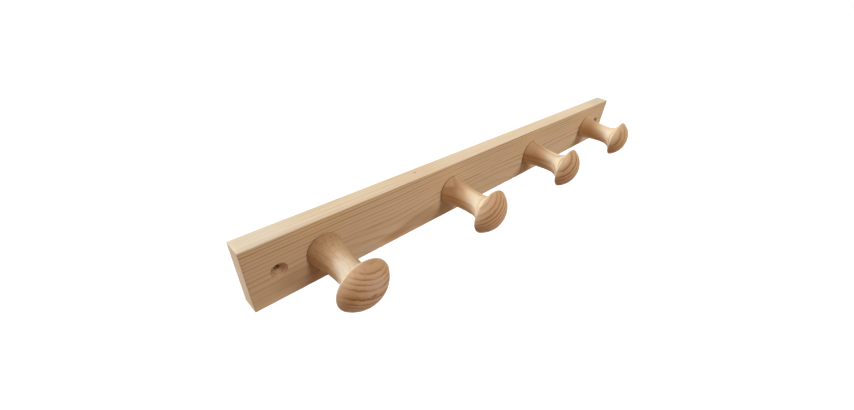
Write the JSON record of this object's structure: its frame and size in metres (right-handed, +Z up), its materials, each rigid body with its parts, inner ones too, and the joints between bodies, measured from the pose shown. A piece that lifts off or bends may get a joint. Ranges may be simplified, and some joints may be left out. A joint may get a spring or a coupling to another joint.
{
  "type": "wall peg rail",
  "caption": "Plain wooden wall rail with a row of turned mushroom-headed pegs for coats, screwed to the wall through countersunk holes near its ends.",
  "frame": {"origin": "centre of the rail's back face, which lies on the wall", "axes": "+X along the rail, to the right seen from the room; +Y into the wall; +Z up. The pegs point along -Y."},
  "size_m": [0.6, 0.089, 0.062],
  "materials": {
    "rail_pine": "planed and sanded pine, unfinished",
    "peg_pine": "turned and sanded pine, unfinished",
    "screw_steel": "zinc-plated"
  },
  "bodies": {
    "root": {"rail_board": "rail_pine", "peg_1": "peg_pine", "peg_2": "peg_pine", "peg_3": "peg_pine", "peg_4": "peg_pine", "peg_screw_1": "screw_steel", "peg_screw_2": "screw_steel", "peg_screw_3": "screw_steel", "peg_screw_4": "screw_steel"}
  },
  "joints": []
}
